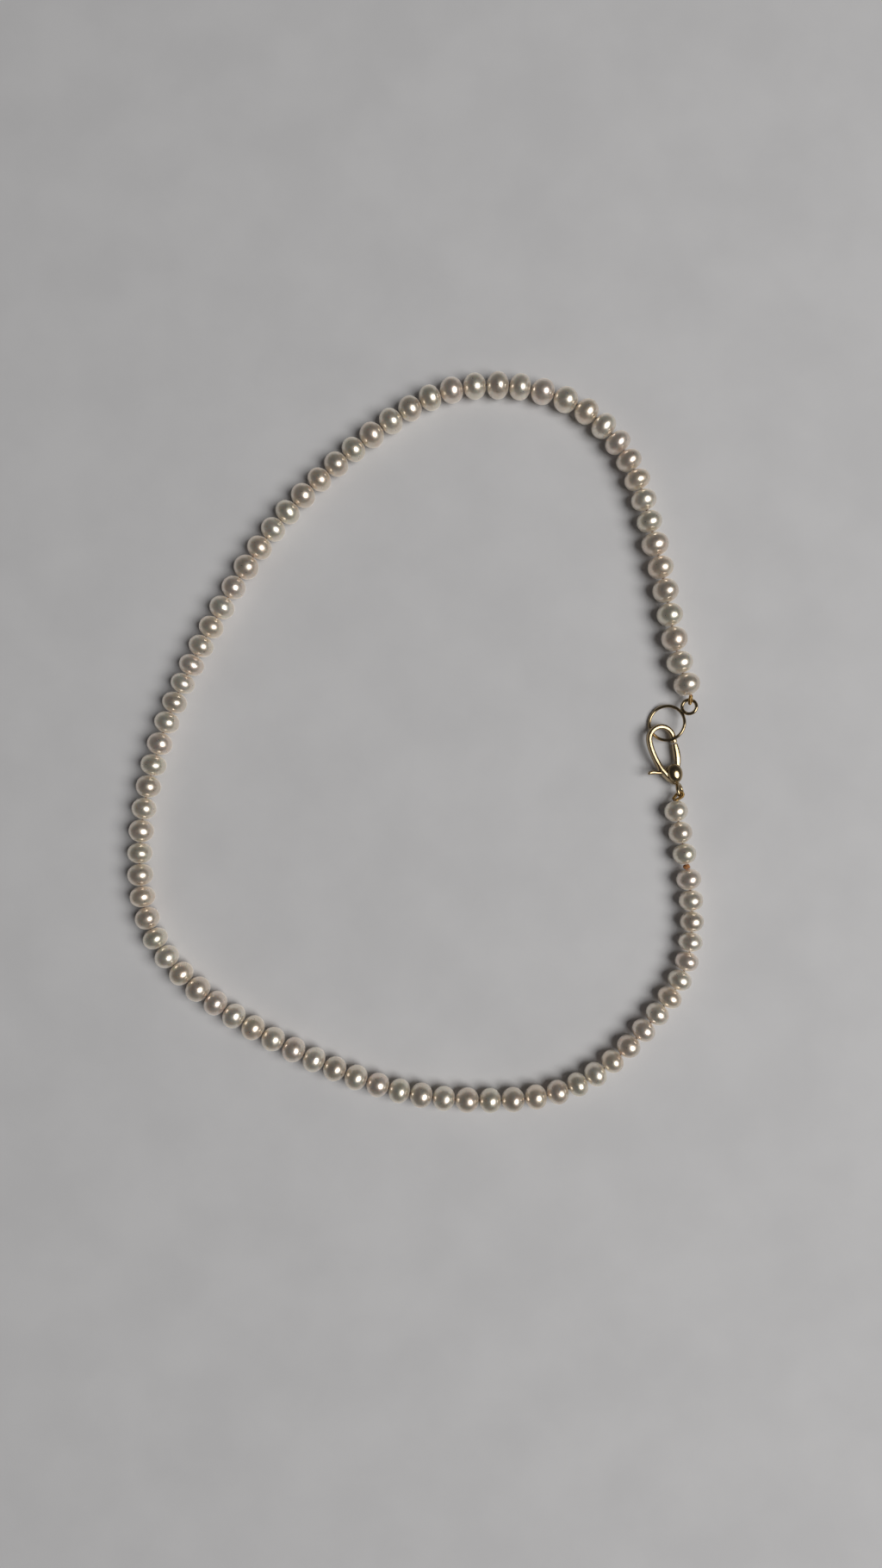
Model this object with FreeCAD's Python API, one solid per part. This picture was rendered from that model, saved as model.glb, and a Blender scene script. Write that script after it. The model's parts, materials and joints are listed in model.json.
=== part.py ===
"""Pearl necklace with a trigger clasp, closed and lying flat, in millimetres.

The origin is under the middle of the necklace, on the surface it lies on. +Z is up, +Y runs
along the longer side of the loop, and the clasp is on the +X side.
"""
import FreeCAD, Part
import math
import os

from FreeCAD import Placement, Rotation, Vector

# ---- Driving dimensions -------------------------------------------------------------------

PEARLS = 86                  # pearls on the strand
KNOT_AFTER = 2               # the finishing knot sits after this pearl, counted from 0 at the clasp
KNOT_ROOM = 0.20             # the room it takes, as a share of one pearl's pitch
PEARL_GAP = 0.06             # bare thread between two pearls
BORE_RADIUS = 0.35           # the hole drilled through a pearl
THREAD_RADIUS = 0.20         # doubled silk
SIZE_SPREAD = 0.030          # how far one pearl's width strays from the graduation
SIZE_WAVE = (1.7, 2.1)       # speed and phase of that unevenness along the strand
LEAST_OBLATE = 1.06          # a pearl is at least this much wider than it is long
END_FULLNESS = 1.25          # radius of a pearl's end caps, as a share of its ellipse's there
LENGTH_SPREAD = 0.030        # how far a gap strays along the strand, in pitches
LENGTH_WAVE = (2.4, 0.7)
END_PITCH = 0.87             # the pitch outside the route's ends, as a share of the diameter
SHORTEST_RUN = 0.3           # two points of the thread's line nearer than this count as one
ARC_SHARE = 0.45             # how much of the shorter run beside a corner its arc takes

# The graduation: the pearls' diameter across the strand, by place on it.
GRADUATION = [(0, 4.80), (16, 4.85), (30, 4.98), (58, 5.02), (66, 5.20), (85, 5.30)]

# The line the necklace lies in: (place on the strand, x, y) of chosen pearls' middles.
ROUTE = [
    (0, 50.9, -13.4),
    (3.2, 53.4, -26.9),
    (6.2, 53.8, -39.2),
    (8.2, 51.7, -46.8),
    (10.2, 47.2, -53.4),
    (13.2, 38.4, -62.8),
    (16.2, 27.6, -68.9),
    (19.2, 14.2, -70.5),
    (23.2, -3.7, -68.6),
    (27.2, -20.5, -62.4),
    (31.2, -36.3, -53.8),
    (34.2, -46.7, -45.5),
    (36.2, -51.9, -38.5),
    (39.2, -54.8, -26.0),
    (43.2, -53.2, -8.6),
    (47.2, -48.0, 8.0),
    (51.2, -40.8, 22.8),
    (55.2, -31.3, 38.5),
    (59.2, -19.5, 51.9),
    (63.2, -5.4, 63.4),
    (66.2, 6.6, 69.6),
    (68.2, 15.7, 70.5),
    (70.2, 24.6, 69.3),
    (72.2, 33.3, 65.4),
    (73.2, 36.7, 62.4),
    (75.2, 41.6, 55.7),
    (78.2, 45.6, 43.6),
    (81.2, 48.8, 30.0),
    (84.2, 51.5, 15.9),
    (85.2, 52.9, 11.6),
]

KNOT_LENGTH = 0.74
KNOT_RADIUS = 0.66

WIRE_COIL_RADIUS = 0.32      # the French wire, a fine coil that guards the silk
WIRE_COIL_BORE = 0.22
LOOP_CLEARANCE = 0.07        # between the coil and the ring's wire that it goes round
LOOP_HALF_GAP = 0.01         # half of the gap between the coil's two ends
MOUTH_GAP = 0.16             # from the end pearls to the French wire

# The figure-eight ring: a large ring that the hook takes and a small one for the strand.
LARGE_RING = (49.25, 3.96)
LARGE_RING_RADIUS = 3.44
LARGE_RING_WIRE = 0.31
SMALL_RING_RADIUS = 1.40
SMALL_RING_WIRE = 0.33
SMALL_RING_BEARING = 33.5    # degrees, from the large ring's middle to the small one's
RING_HEIGHT = 1.62           # the large ring's middle above the table
RING_SLOPE = 21.0            # degrees, its plane against the table
RING_UPHILL = -24.0          # degrees, the bearing its plane climbs towards
SOLDERED = 0.8               # the two wires' middles lie this share of their radii apart

# The trigger clasp, drawn with its pivot at (0, 0), its hook along +y and its trigger on -x.
PIVOT = (50.7, -5.9, 1.60)
CLASP_LEAN = 14.5            # degrees, its long axis against +Y
CLASP_TILT = 12.0            # degrees, its gate side leans towards the table
HOOK_THICKNESS = 1.5
BASE_THICKNESS = 2.2
HOOK_MIDDLE = (-0.925, 7.1)
HOOK_OUTER = 3.025
HOOK_INNER = 1.975
NOSE_INNER = 5.90            # where the nose ends, on its two flanks
NOSE_OUTER = 5.60
BOSS_RADIUS = 1.90
SLOT_HEIGHT = 1.10
SLOT_CORNER = (-6.0, -1.95)  # the slot's corner by the trigger, and its length and width
SLOT_SIZE = (9.0, 3.95)
LEVER_THICKNESS = 1.00
LEVER_HUB_RADIUS = 1.80
GATE_TIP = 5.84              # the gate's reach from the pivot
GATE_TIP_SIDES = (2.06, 1.02)  # x of the tip's outer and inner corner
GATE_SHOULDER = 2.02         # radius about the pivot inside which the gate is cut away
PIN_RADIUS = 0.45
PIN_CLEARANCE = 0.05
PIN_OVERLAP = 0.05           # how far the shank runs into each head
DOME = (1.62, 1.82, 1.15)    # half sizes of the rivet's domed head
TAIL_HEAD = (0.85, 0.14)     # radius and height of its flat head
EYE = (0.19, -3.62, 0.0)
EYE_RADIUS = 1.29
EYE_WIRE = 0.33
EYE_TURN = 50.0              # degrees, the eye's plane against the clasp's
EDGE_ROUND = 0.34            # rounding of the hook's and the gate's rims
TAB_ROUND = 0.18

SPRING_RADIUS = 0.86
SPRING_WIRE = 0.085          # half the side of its square wire
SPRING_PITCH = 0.23
SPRING_TURNS = 2.5
SPRING_CLEARANCE = 0.02      # from the spring's lowest turn to its pocket's floor
POCKET = (0.62, 1.12, 0.74)  # inner radius, outer radius and depth of the spring's pocket

UP = Vector(0, 0, 1)
SAME = 1e-6                  # lengths nearer than this are equal


# ---- The strand ---------------------------------------------------------------------------

def graduated(place):
    """The strand's smooth pearl diameter at a place on it."""
    for (low, small), (high, large) in zip(GRADUATION, GRADUATION[1:]):
        if place <= high:
            share = max(0.0, (place - low) / (high - low))
            return small + share * (large - small)
    return GRADUATION[-1][1]


def route_curve():
    """The curve through the chosen middles, whose parameter is the place on the strand."""
    points = [Vector(x, y, 0) for _, x, y in ROUTE]
    curve = Part.BSplineCurve()
    curve.interpolate(Points=points, Parameters=[place for place, _, _ in ROUTE])
    return curve


def wander(number, speed, phase):
    """A repeatable unevenness between -1 and 1."""
    return math.sin(speed * number + phase) * math.cos(0.37 * speed * number + 2 * phase)


def at(curve, place):
    """A point of the strand's centre line, at the height of the pearls that lie there."""
    low, high = ROUTE[0][0], ROUTE[-1][0]
    inside = min(max(place, low), high)
    point = curve.value(inside)
    if inside != place:
        past = (place - inside) * graduated(place) * END_PITCH
        point = point + curve.tangent(inside)[0] * past
    point.z = graduated(place) / 2
    return point


def strand_places():
    """For each pearl, the two ends of its stretch of the centre line."""
    curve = route_curve()
    ends = []
    for number in range(PEARLS):
        past_knot = KNOT_ROOM if number > KNOT_AFTER else 0.0
        first = number - 0.5 + past_knot
        last = number + 0.5 + past_knot
        if number > 0 and number != KNOT_AFTER + 1:
            first += LENGTH_SPREAD * wander(number, *LENGTH_WAVE)
        if number < PEARLS - 1 and number != KNOT_AFTER:
            last += LENGTH_SPREAD * wander(number + 1, *LENGTH_WAVE)
        ends.append((at(curve, first), at(curve, last)))
    return ends


def pearl_width(number):
    """One pearl's diameter across the strand."""
    return graduated(number) * (1 + SIZE_SPREAD * wander(number, *SIZE_WAVE))


def turned_to(shape, start, direction):
    """Carries a shape from the origin and +X to a start point and a direction."""
    shape.Placement = Placement(start, Rotation(Vector(1, 0, 0), direction))
    return shape


def bead(half, radius, bore, fullness):
    """An oblate bead with a hole along X: a round band between two flatter end caps.

    half is half its length, and fullness is the caps' radius as a share of an ellipse's there.
    """
    cap = fullness * radius ** 2 / half
    band = (2 * cap * half - half ** 2 - radius ** 2) / (2 * (cap - radius))
    turn = math.atan2(radius - band, cap - half)
    seam = Vector(half - cap * (1 - math.cos(turn)), cap * math.sin(turn), 0)
    rim = Vector(half - cap + math.sqrt(cap ** 2 - bore ** 2), bore, 0)
    half_turn = (turn + math.asin(bore / cap)) / 2
    inside_cap = Vector(half - cap + cap * math.cos(half_turn), cap * math.sin(half_turn), 0)
    left = [Vector(-point.x, point.y, 0) for point in (rim, inside_cap, seam)]
    profile = Part.Wire([
        Part.Arc(rim, inside_cap, seam).toShape(),
        Part.Arc(seam, Vector(0, radius, 0), left[2]).toShape(),
        Part.Arc(left[2], left[1], left[0]).toShape(),
        Part.makeLine(left[0], rim),
    ])
    return Part.Face(profile).revolve(Vector(0, 0, 0), Vector(1, 0, 0), 360)


def pearl(width, start, end):
    """An off-round pearl with its drilled hole, lying along the thread from start to end."""
    half = ((end - start).Length - PEARL_GAP) / 2
    radius = max(width / 2, LEAST_OBLATE * half)
    return turned_to(bead(half, radius, BORE_RADIUS, END_FULLNESS), (start + end) * 0.5, end - start)


def tube_along(points, radius):
    """A tube along straight runs joined by arcs as large as the runs allow."""
    edges = []
    last = points[0]
    for before, corner, after in zip(points, points[1:], points[2:]):
        back = before - corner
        ahead = after - corner
        setback = ARC_SHARE * min(back.Length, ahead.Length)
        back.normalize()
        ahead.normalize()
        if (back + ahead).Length < SAME:
            continue
        start = corner + back * setback
        stop = corner + ahead * setback
        half_angle = back.getAngle(ahead) / 2
        bisector = back + ahead
        bisector.normalize()
        radius_of_arc = setback * math.tan(half_angle)
        middle = corner + bisector * (radius_of_arc / math.sin(half_angle) - radius_of_arc)
        edges.append(Part.makeLine(last, start))
        edges.append(Part.Arc(start, middle, stop).toShape())
        last = stop
    edges.append(Part.makeLine(last, points[-1]))
    path = Part.Wire(edges)
    circle = Part.Circle(points[0], points[1] - points[0], radius)
    return path.makePipeShell([Part.Wire(circle.toShape())], True, False)


def beyond(mouth, other_end):
    """The point a little outside an end pearl where its French wire begins."""
    outward = mouth - other_end
    return mouth + outward.normalize() * MOUTH_GAP


def knot(start, end, radius, length):
    """A tight silk knot: a plump bead squeezed between two pearls, round the thread."""
    knot = bead(length / 2, radius, THREAD_RADIUS, 1)
    return turned_to(knot, (start + end) * 0.5, end - start)


# ---- Rings and French wire ----------------------------------------------------------------

def ring_normal():
    """The figure-eight ring's plane: it climbs from under the hook to over its nose."""
    bearing = math.radians(RING_UPHILL)
    slope = math.radians(RING_SLOPE)
    lean = Vector(-math.cos(bearing), -math.sin(bearing), 0) * math.sin(slope)
    return lean + UP * math.cos(slope)


def large_ring_middle():
    return Vector(LARGE_RING[0], LARGE_RING[1], RING_HEIGHT)


def small_ring_middle():
    """The small ring's middle, in the same plane, its wire sunk a little into the large ring's."""
    bearing = math.radians(SMALL_RING_BEARING)
    flat = Vector(math.cos(bearing), math.sin(bearing), 0)
    normal = ring_normal()
    direction = flat - normal * flat.dot(normal)
    direction.normalize()
    wires = SOLDERED * (LARGE_RING_WIRE + SMALL_RING_WIRE)
    return large_ring_middle() + direction * (LARGE_RING_RADIUS + SMALL_RING_RADIUS + wires)


def ring(middle, normal, radius, wire):
    return Part.makeTorus(radius, wire, middle, normal)


def loop_path(limb, outward, across, guard):
    """A loop that runs from the pearl round a ring's limb and back, its two ends side by side.

    outward goes from the limb to the pearl's mouth, across is at right angles to it and to the
    limb, and guard is the loop's radius round the limb.
    """
    reach = outward.Length
    ahead = outward.normalize()
    offset = WIRE_COIL_RADIUS + LOOP_HALF_GAP
    distance = math.hypot(reach, offset)
    tangent_turn = math.atan2(offset, reach) + math.acos(guard / distance)
    points = []
    for side in (1, -1):
        touch = ahead * (guard * math.cos(tangent_turn))
        touch = touch + across * (side * guard * math.sin(tangent_turn))
        points.append((limb + outward * reach + across * (side * offset), limb + touch))
    (start, touch_a), (end, touch_b) = points
    far = limb - ahead * guard
    return Part.Wire([
        Part.makeLine(start, touch_a),
        Part.Arc(touch_a, far, touch_b).toShape(),
        Part.makeLine(touch_b, end),
    ])


def swept(path, radius):
    """A round bar along a path."""
    start = path.OrderedVertexes[0].Point
    heading = path.OrderedEdges[0].tangentAt(path.OrderedEdges[0].FirstParameter)
    circle = Part.Circle(start, heading, radius)
    return path.makePipeShell([Part.Wire(circle.toShape())], True, False)


def french_wire(limb, limb_direction, wire, mouth):
    """The coil's loop round a ring's limb, as a tube, and the silk inside it."""
    outward = mouth - limb
    across = outward.cross(limb_direction)
    across.normalize()
    guard = wire + WIRE_COIL_RADIUS + LOOP_CLEARANCE
    path = loop_path(limb, outward, across, guard)
    tube = swept(path, WIRE_COIL_RADIUS).cut(swept(path, WIRE_COIL_BORE))
    return tube, swept(path, THREAD_RADIUS)


# ---- The trigger clasp, in its own flat frame ---------------------------------------------

def clasp_placement():
    """Carries the clasp from its own flat frame to where it lies."""
    lean = Rotation(UP, CLASP_LEAN)
    tilt = Rotation(Vector(0, 1, 0), CLASP_TILT)
    return Placement(Vector(*PIVOT), lean.multiply(tilt))


def plate(edges, thickness, rounding):
    """A plate on both sides of the clasp's middle plane, with rounded rims."""
    face = Part.Face(Part.Wire(edges))
    solid = face.extrude(Vector(0, 0, thickness))
    solid.translate(Vector(0, 0, -thickness / 2))
    if not rounding:
        return solid
    rims = [e for e in solid.Edges if abs(abs(e.CenterOfMass.z) - thickness / 2) < SAME]
    return solid.makeFillet(rounding, rims)


def line(start, end):
    return Part.makeLine(Vector(*start, 0), Vector(*end, 0))


def arc(start, middle, end):
    return Part.Arc(Vector(*start, 0), Vector(*middle, 0), Vector(*end, 0)).toShape()


def curve(*points):
    """A smooth edge that leaves its first point and meets its last along the outer runs."""
    bezier = Part.BezierCurve()
    bezier.setPoles([Vector(*point, 0) for point in points])
    return bezier.toShape()


def round_edges(solid):
    return [edge for edge in solid.Edges if edge.Curve.TypeId == "Part::GeomCircle"]


def disc(radius, thickness, middle=(0, 0)):
    start = Vector(middle[0], middle[1], -thickness / 2)
    return Part.makeCylinder(radius, thickness, start, UP)


def clasp_body():
    """The cast hook: nose, bow, back bar, and the slotted boss that carries the trigger."""
    x, y = HOOK_MIDDLE
    out_r, in_r = x + HOOK_OUTER, x + HOOK_INNER
    out_l, in_l = x - HOOK_OUTER, x - HOOK_INNER
    edges = [
        line((out_r, NOSE_OUTER), (out_r, y)),
        arc((out_r, y), (x, y + HOOK_OUTER), (out_l, y)),
        curve((out_l, y), (out_l, 5.2), (-4.1, 2.7), (-3.4, 1.65)),
        line((-3.4, 1.65), (-0.75, -2.25)),
        line((-0.75, -2.25), (0.6, -2.25)),
        line((0.6, -2.25), (1.5, -1.0)),
        line((1.5, -1.0), (1.5, 1.0)),
        line((1.5, 1.0), (0.4, 1.8)),
        curve((0.4, 1.8), (-1.8, 1.9), (in_l, 5.0), (in_l, y)),
        arc((in_l, y), (x, y + HOOK_INNER), (in_r, y)),
        line((in_r, y), (in_r, NOSE_INNER)),
        line((in_r, NOSE_INNER), (out_r, NOSE_OUTER)),
    ]
    hook = plate(edges, HOOK_THICKNESS, EDGE_ROUND)
    boss = disc(BOSS_RADIUS, BASE_THICKNESS)
    boss = boss.makeFillet(EDGE_ROUND / 2, round_edges(boss))
    body = hook.fuse(boss)
    slot = Part.makeBox(*SLOT_SIZE, SLOT_HEIGHT, Vector(*SLOT_CORNER, -SLOT_HEIGHT / 2))
    body = body.cut(slot)
    return body.cut(disc(PIN_RADIUS, 2 * BASE_THICKNESS))


def gate_tip(x):
    """A corner of the gate's tip, near enough to the pivot to swing clear of the nose."""
    return x, math.sqrt(GATE_TIP ** 2 - x ** 2)


def clasp_lever():
    """The trigger: a hub in the slot, the gate that closes the hook, and the thumb tab."""
    outer, inner = (gate_tip(x) for x in GATE_TIP_SIDES)
    gate = plate([
        line((0.50, 1.2), (1.70, 1.2)),
        curve((1.70, 1.2), (2.25, 2.4), (2.35, 4.2), outer),
        line(outer, inner),
        line(inner, (0.50, 1.2)),
    ], HOOK_THICKNESS, EDGE_ROUND)
    gate = gate.cut(disc(GATE_SHOULDER, 2 * BASE_THICKNESS))
    web = plate([
        line((0.55, 0.5), (0.70, 2.6)),
        line((0.70, 2.6), (2.00, 2.6)),
        line((2.00, 2.6), (1.55, 0.5)),
        line((1.55, 0.5), (0.55, 0.5)),
    ], LEVER_THICKNESS, 0)
    tab = plate([
        curve((-0.9, 1.25), (-2.6, 1.05), (-4.2, 1.75), (-5.25, 1.30)),
        arc((-5.25, 1.30), (-5.42, 1.05), (-5.22, 0.80)),
        curve((-5.22, 0.80), (-4.2, 0.90), (-3.6, 0.45), (-3.1, 0.06)),
        line((-3.1, 0.06), (-1.06, -1.42)),
        line((-1.06, -1.42), (-0.9, 1.25)),
    ], LEVER_THICKNESS, TAB_ROUND)
    lever = disc(LEVER_HUB_RADIUS, LEVER_THICKNESS).fuse([web, gate, tab])
    inner, outer, depth = POCKET
    floor = LEVER_THICKNESS / 2 - depth
    pocket = Part.makeCylinder(outer, depth, Vector(0, 0, floor), UP)
    pocket = pocket.cut(Part.makeCylinder(inner, depth, Vector(0, 0, floor), UP))
    lever = lever.cut(pocket)
    return lever.cut(disc(PIN_RADIUS + PIN_CLEARANCE, 2 * BASE_THICKNESS))


def lever_pin():
    """The pivot rivet: a domed head on top, a flat one beneath."""
    half = BASE_THICKNESS / 2
    tail_radius, tail_height = TAIL_HEAD
    dome = Part.makeSphere(1)
    stretch = FreeCAD.Matrix()
    stretch.scale(*DOME)
    dome = dome.transformGeometry(stretch)
    under = 2 * max(DOME)
    dome = dome.cut(Part.makeBox(2 * under, 2 * under, under, Vector(-under, -under, -under)))
    dome.translate(Vector(0, 0, half))
    length = BASE_THICKNESS + 2 * PIN_OVERLAP
    shank = Part.makeCylinder(PIN_RADIUS, length, Vector(0, 0, -half - PIN_OVERLAP), UP)
    tail = Part.makeCylinder(tail_radius, tail_height, Vector(0, 0, -half - tail_height), UP)
    return dome.fuse([shank, tail]).removeSplitter()


def lever_spring():
    """The small coil in the trigger's pocket that presses the gate shut."""
    height = SPRING_PITCH * SPRING_TURNS
    helix = Part.makeHelix(SPRING_PITCH, height, SPRING_RADIUS)
    inner, outer = SPRING_RADIUS - SPRING_WIRE, SPRING_RADIUS + SPRING_WIRE
    corners = [(inner, -SPRING_WIRE), (outer, -SPRING_WIRE), (outer, SPRING_WIRE),
               (inner, SPRING_WIRE), (inner, -SPRING_WIRE)]
    square = Part.makePolygon([Vector(x, 0, z) for x, z in corners])
    coil = Part.Wire(helix).makePipeShell([square], True, True)
    floor = LEVER_THICKNESS / 2 - POCKET[2]
    coil.translate(Vector(0, 0, floor + SPRING_WIRE + SPRING_CLEARANCE))
    return coil


def eye_frame():
    """The clasp's end eye: its middle and its normal."""
    placement = clasp_placement()
    middle = placement.multVec(Vector(*EYE))
    turn = Rotation(Vector(0, 1, 0), EYE_TURN)
    normal = placement.Rotation.multVec(turn.multVec(UP))
    return middle, normal


def limb_towards(middle, normal, radius, target):
    """The point of a ring's centre line nearest to a target, and the wire's direction there."""
    away = target - middle
    away = away - normal * away.dot(normal)
    away.normalize()
    return middle + away * radius, normal.cross(away)


# ---- Assembly -----------------------------------------------------------------------------

def build():
    """Every node's shape, and the points that the joints turn about."""
    ends = strand_places()
    nodes = {}
    for pair in range(PEARLS // 2):
        numbers = (2 * pair, 2 * pair + 1)
        pearls = [pearl(pearl_width(n), *ends[n]) for n in numbers]
        nodes["pearl_pair_%02d" % (pair + 1)] = Part.makeCompound(pearls)

    first_mouth = beyond(*ends[0])
    last_mouth = beyond(ends[-1][1], ends[-1][0])
    line_points = [first_mouth]
    for start, end in ends:
        if (start - line_points[-1]).Length > SHORTEST_RUN:
            line_points.append(start)
        line_points.append(end)
    line_points[-1] = last_mouth
    thread = tube_along(line_points, THREAD_RADIUS)

    knot_ends = (ends[KNOT_AFTER][1], ends[KNOT_AFTER + 1][0])
    nodes["knot_clasp_side"] = knot(*knot_ends, KNOT_RADIUS, KNOT_LENGTH)

    middle, normal = eye_frame()
    eye_limb, along_eye = limb_towards(middle, normal, EYE_RADIUS, first_mouth)
    tube, silk_a = french_wire(eye_limb, along_eye, EYE_WIRE, first_mouth)
    nodes["french_wire_clasp_side"] = tube

    ring_up = ring_normal()
    small_middle = small_ring_middle()
    ring_limb, along_ring = limb_towards(small_middle, ring_up, SMALL_RING_RADIUS, last_mouth)
    tube, silk_b = french_wire(ring_limb, along_ring, SMALL_RING_WIRE, last_mouth)
    nodes["french_wire_ring_side"] = tube
    nodes["silk_thread"] = Part.makeCompound([thread, silk_a, silk_b])

    nodes["large_ring"] = ring(large_ring_middle(), ring_up, LARGE_RING_RADIUS, LARGE_RING_WIRE)
    nodes["small_ring"] = ring(small_middle, ring_up, SMALL_RING_RADIUS, SMALL_RING_WIRE)

    clasp_parts = {
        "clasp_body": clasp_body(),
        "clasp_lever": clasp_lever(),
        "lever_pin": lever_pin(),
        "lever_spring": lever_spring(),
    }
    for name, shape in clasp_parts.items():
        shape.Placement = clasp_placement().multiply(shape.Placement)
        nodes[name] = shape
    nodes["clasp_end_ring"] = ring(middle, normal, EYE_RADIUS, EYE_WIRE)

    joints = {"pair_%02d" % (p + 1): ends[2 * p + 1][1] for p in range(PEARLS // 2 - 1)}
    joints["ring_swing"] = ring_limb
    joints["clasp_swing"] = eye_limb
    joints["lever"] = Vector(*PIVOT)
    return nodes, joints


def centred(nodes, joints):
    """Moves everything so that the origin is under the middle of the whole necklace.

    Returns the moved joint points and the box's size.
    """
    box = FreeCAD.BoundBox()
    for shape in nodes.values():
        box.add(shape.optimalBoundingBox(False))
    shift = Vector(-box.Center.x, -box.Center.y, -box.ZMin)
    for shape in nodes.values():
        shape.translate(shift)
    moved = {name: point + shift for name, point in joints.items()}
    return moved, (box.XLength, box.YLength, box.ZLength)


nodes, joints = build()
joints, size = centred(nodes, joints)

os.makedirs("parts", exist_ok=True)
for name, shape in nodes.items():
    shape.exportStep("parts/%s.step" % name)
    if not shape.isValid():
        print("not valid:", name)
for name, point in joints.items():
    print("joint", name, *("%.4f" % value for value in point))
print("nodes", len(nodes), "size", *("%.3f" % length for length in size))
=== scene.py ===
"""Pearl necklace with a trigger clasp, closed and lying on a pale surface, seen from above."""
import json
import math

import bmesh
import bpy
import numpy as np
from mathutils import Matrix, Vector, noise


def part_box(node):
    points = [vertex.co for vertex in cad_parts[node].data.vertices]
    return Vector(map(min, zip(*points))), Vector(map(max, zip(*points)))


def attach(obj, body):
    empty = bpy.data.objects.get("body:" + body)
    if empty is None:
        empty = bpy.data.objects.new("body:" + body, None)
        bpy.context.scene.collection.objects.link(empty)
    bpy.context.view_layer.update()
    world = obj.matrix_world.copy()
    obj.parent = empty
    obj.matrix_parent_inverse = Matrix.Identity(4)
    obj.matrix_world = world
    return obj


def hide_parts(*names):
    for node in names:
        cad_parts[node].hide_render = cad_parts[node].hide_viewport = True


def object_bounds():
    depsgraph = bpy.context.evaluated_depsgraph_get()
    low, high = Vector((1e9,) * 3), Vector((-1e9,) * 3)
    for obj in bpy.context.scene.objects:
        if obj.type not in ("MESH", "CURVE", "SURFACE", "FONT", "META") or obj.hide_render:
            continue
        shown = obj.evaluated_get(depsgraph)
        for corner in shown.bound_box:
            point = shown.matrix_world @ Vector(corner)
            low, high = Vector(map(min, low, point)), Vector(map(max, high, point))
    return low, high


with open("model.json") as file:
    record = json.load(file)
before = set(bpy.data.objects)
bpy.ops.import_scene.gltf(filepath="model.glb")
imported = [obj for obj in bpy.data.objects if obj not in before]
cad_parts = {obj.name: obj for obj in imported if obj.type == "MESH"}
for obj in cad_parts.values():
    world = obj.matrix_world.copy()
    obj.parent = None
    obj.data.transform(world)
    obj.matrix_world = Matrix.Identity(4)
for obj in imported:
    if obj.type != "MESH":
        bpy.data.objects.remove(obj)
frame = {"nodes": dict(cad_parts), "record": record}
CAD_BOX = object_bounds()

MM = 0.001
PAIRS = 43
BEHAVIOUR = frame["record"]["behaviour"]
BODY_OF = {node: body for body, nodes in BEHAVIOUR["bodies"].items() for node in nodes}

# ---- Sizes, in millimetres ----------------------------------------------------------------

BORE = 0.35                  # radius of a pearl's drilled hole
PEARL_AROUND = 56            # faces round a pearl
PEARL_CAP = 9                # faces along a pearl's end cap, and along half its band
PEARL_BAND = 12
END_FULLNESS = 1.25          # radius of a pearl's end caps, as a share of its ellipse's there
LUMPS = 0.018                # how far a pearl's skin strays from round, as a share of its size
LUMP_GAIN = 1.6              # brings the noise, which seldom reaches 1, up to LUMPS
LUMP_SCALE = 1.1             # scale of the noise over a pearl, for lumps and for ripples
LUMP_FADE = 0.35             # the skin is even at the hole, and uneven this share of a radius on
RIPPLES = 0.004
RIPPLE_SCALE = 3.4
RINGED_EVERY = 4             # one pearl in this many has faint rings round it
GROOVES = 0.0018             # depth of those rings, and how close they are
GROOVE_RATE = 14.0
SEED_STEPS = (7.31, 3.17, 1.93)  # moves each pearl to its own place in the noise
HOLE_ROWS = [                # (place, radius) down a hole, as shares of its half length and BORE
    (-0.96, 0.96), (-0.5, 0.93), (0.0, 0.93), (0.5, 0.93), (0.96, 0.96),
]
PLY = 0.105                  # radius of one of the silk's two plies
PLY_TURN = 1.05              # length of one turn of the plies
PLY_REACH = 0.92             # from the thread's middle to a ply's, as a share of PLY
PLY_AROUND = 8
THREAD_STEP = 0.09           # spacing of the points along the silk
KNOT_AFTER = 2               # the knot follows this pearl, counted from 0 at the clasp
KNOT_LONG = 0.90
KNOT_WIDE = 1.50
KNOT_STRAND = 0.24           # radius of the strand that the knot is tied from
KNOT_CORE = 0.26             # radius of the silk inside the knot
KNOT_STEPS = 220
KNOT_AROUND = 12
CORE_STEP = 0.05
CORE_AROUND = 16
COIL = 0.32                  # outer radius of the French wire
COIL_WIRE = 0.062            # radius of the fine wire it is wound from
COIL_PITCH = 2.1             # length of one of its turns, in radii of the fine wire
COIL_STEP = 0.0085           # spacing of the points along it
COIL_AROUND = 6
EYE_WIRE = 0.33              # radius of the wire of the eye and of the two jump rings
SMALL_WIRE = 0.33
LARGE_WIRE = 0.31
RING_STEPS = 180
RING_AROUND = 28
RING_WEAR = 0.012            # how far a ring's wire is worn thinner, as a share of its radius
LOOP_CLEARANCE = 0.07        # gap between the French wire and the ring that it goes round
LOOP_STEPS = 90
LEG_GAP = 0.01               # half the gap between the two legs of the French wire
LEG_STEP = 0.03
MOUTH_GAP = 0.16             # from the last pearl at each end to the start of the French wire

# The clasp, in its flat frame: pivot at (0, 0), hook along +y, thumb tab on -x.
EYE_PLACE = (0.19, -3.62)
BAR_AROUND = 28
BOW = (-0.925, 7.1, 2.50)    # middle and radius of the bow's centre line
BOW_STEP = 15                # degrees between the stations round the bow
BOW_HALF = (0.52, 0.75)      # half width and half height of the bow
NOSE_END = 5.71
NOSE_HALVES = [(0.50, 0.72), (0.52, 0.74)]  # the same at the nose's end, and half way to the bow
BACK = [                     # (place, half width and half height) down the back bar
    ((-3.42, 5.6), (0.52, 0.75)),
    ((-3.20, 4.1), (0.52, 0.76)),
    ((-2.88, 2.7), (0.54, 0.80)),
    ((-2.42, 1.3), (0.58, 0.92)),
    ((-1.75, 0.0), (0.60, 1.02)),
    ((-1.00, -1.15), (0.58, 1.00)),
    ((-0.35, -1.95), (0.48, 0.85)),
]
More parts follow.
